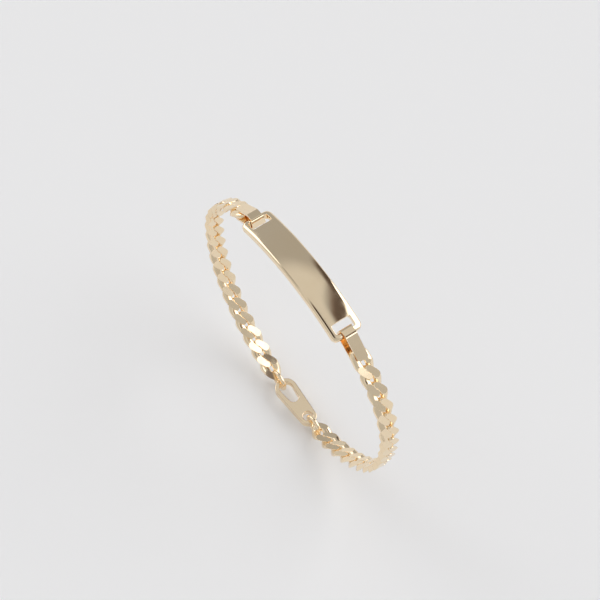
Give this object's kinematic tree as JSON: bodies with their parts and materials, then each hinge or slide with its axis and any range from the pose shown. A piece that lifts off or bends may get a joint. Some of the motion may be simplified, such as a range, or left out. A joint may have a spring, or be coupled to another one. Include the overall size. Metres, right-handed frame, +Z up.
{
  "type": "identity bracelet",
  "caption": "Curved identity plate held by folded straps at both ends, on a flat curb chain closed by a plain clasp.",
  "frame": {"origin": "middle of the wrist hollow, halfway between the top of the plate's curve and the clasp", "axes": "+X along the plate, +Y along the wrist, +Z up through the middle of the plate"},
  "size_m": [0.0606, 0.0066, 0.0571],
  "materials": {
    "plate": "pale gold plate, mirror polished",
    "connector": "pale gold plate, polished",
    "chain": "pale gold plate, polished, faces ground flat",
    "clasp": "pale gold plate, polished"
  },
  "bodies": {
    "root": {"plate": "plate", "connector_right": "connector", "connector_left": "connector", "clasp": "clasp", "ring_right": "clasp", "ring_left": "clasp", "link_01": "chain", "link_02": "chain", "link_03": "chain", "link_04": "chain", "link_05": "chain", "link_06": "chain", "link_07": "chain", "link_08": "chain", "link_09": "chain", "link_10": "chain", "link_11": "chain", "link_12": "chain", "link_13": "chain", "link_14": "chain", "link_15": "chain", "link_16": "chain", "link_17": "chain", "link_18": "chain", "link_19": "chain", "link_20": "chain", "link_21": "chain", "link_22": "chain", "link_23": "chain", "link_24": "chain", "link_25": "chain", "link_26": "chain", "link_27": "chain", "link_28": "chain", "link_29": "chain", "link_30": "chain", "link_31": "chain", "link_32": "chain", "link_33": "chain", "link_34": "chain", "link_35": "chain", "link_36": "chain"}
  },
  "joints": []
}
